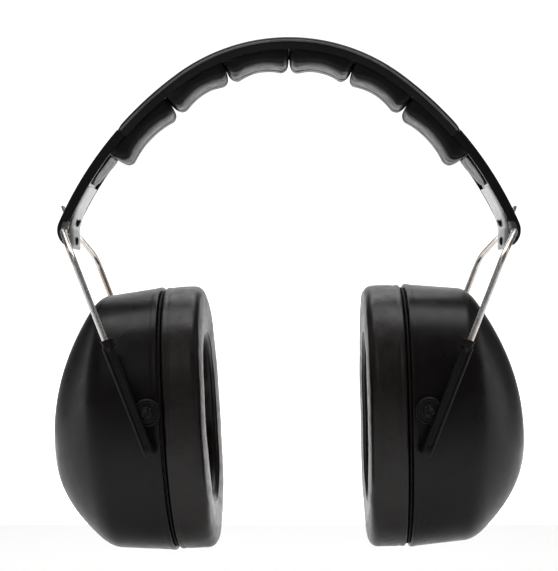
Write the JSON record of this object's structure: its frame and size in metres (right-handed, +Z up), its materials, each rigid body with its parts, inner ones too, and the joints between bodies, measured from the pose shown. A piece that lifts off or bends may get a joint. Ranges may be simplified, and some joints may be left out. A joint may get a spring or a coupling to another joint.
{
  "type": "hearing protection earmuffs",
  "caption": "Folding hearing protection earmuffs: padded sprung headband, wire yokes and deep ear cups that fold, slide and tilt.",
  "frame": {"origin": "the middle of the head: midway between the two ear seals, at the height of the cups' middles", "axes": "+X from the wearer's one ear to the other, +Y towards the back of the head, +Z up to the crown of the headband"},
  "size_m": [0.1941, 0.099, 0.2098],
  "materials": {
    "shell_plastic": "satin moulded, near black",
    "moulded_plastic": "satin moulded, black",
    "cover_vinyl": "soft grained vinyl, dark grey",
    "pad_vinyl": "soft vinyl, black",
    "cushion_vinyl": "soft smooth vinyl, near black",
    "liner_foam": "open-cell foam, dark",
    "spring_steel": "brushed strip",
    "wire_steel": "bright drawn wire"
  },
  "bodies": {
    "headband": {"headband_spring": "spring_steel", "headband_cover": "cover_vinyl", "headband_pad_1": "pad_vinyl", "headband_pad_2": "pad_vinyl", "headband_pad_3": "pad_vinyl", "headband_pad_4": "pad_vinyl", "headband_pad_5": "pad_vinyl", "headband_pad_6": "pad_vinyl", "left_end_pad": "pad_vinyl", "left_end_cap": "moulded_plastic", "left_hinge_clip": "spring_steel", "left_upper_rivet": "moulded_plastic", "left_lower_rivet": "moulded_plastic", "left_lock_tab": "spring_steel", "right_end_pad": "pad_vinyl", "right_end_cap": "moulded_plastic", "right_hinge_clip": "spring_steel", "right_upper_rivet": "moulded_plastic", "right_lower_rivet": "moulded_plastic", "right_lock_tab": "spring_steel"},
    "left_yoke": {"left_wire_yoke": "wire_steel"},
    "left_slider": {"left_front_sleeve": "moulded_plastic", "left_rear_sleeve": "moulded_plastic"},
    "left_cup": {"left_cup_shell": "shell_plastic", "left_seal_plate": "shell_plastic", "left_ear_cushion": "cushion_vinyl", "left_foam_liner": "liner_foam", "left_front_pivot_stud": "moulded_plastic", "left_rear_pivot_stud": "moulded_plastic"},
    "right_yoke": {"right_wire_yoke": "wire_steel"},
    "right_slider": {"right_front_sleeve": "moulded_plastic", "right_rear_sleeve": "moulded_plastic"},
    "right_cup": {"right_cup_shell": "shell_plastic", "right_seal_plate": "shell_plastic", "right_ear_cushion": "cushion_vinyl", "right_foam_liner": "liner_foam", "right_front_pivot_stud": "moulded_plastic", "right_rear_pivot_stud": "moulded_plastic"}
  },
  "joints": [
    {"name": "left_fold", "type": "hinge", "parent": "headband", "child": "left_yoke", "pos_m": [-0.09092, 0, 0.07647], "axis": [0, 1, 0], "range_deg": [-68, 0], "deforming": ["left_ear_cushion"]},
    {"name": "left_slide", "type": "slide", "parent": "left_yoke", "child": "left_slider", "axis": [0.3633, 0, -0.9317], "range_m": [-0.012, 0.018]},
    {"name": "left_tilt", "type": "hinge", "parent": "left_slider", "child": "left_cup", "pos_m": [-0.0555, 0, 0.0046], "axis": [0, 1, 0], "range_deg": [-12, 12]},
    {"name": "right_fold", "type": "hinge", "parent": "headband", "child": "right_yoke", "pos_m": [0.09092, 0, 0.07647], "axis": [0, 1, 0], "range_deg": [0, 68], "deforming": ["right_ear_cushion"]},
    {"name": "right_slide", "type": "slide", "parent": "right_yoke", "child": "right_slider", "axis": [0.3633, 0, 0.9317], "range_m": [-0.018, 0.012]},
    {"name": "right_tilt", "type": "hinge", "parent": "right_slider", "child": "right_cup", "pos_m": [0.0547, 0, 0.0054], "axis": [0, 1, 0], "range_deg": [-12, 12]}
  ]
}
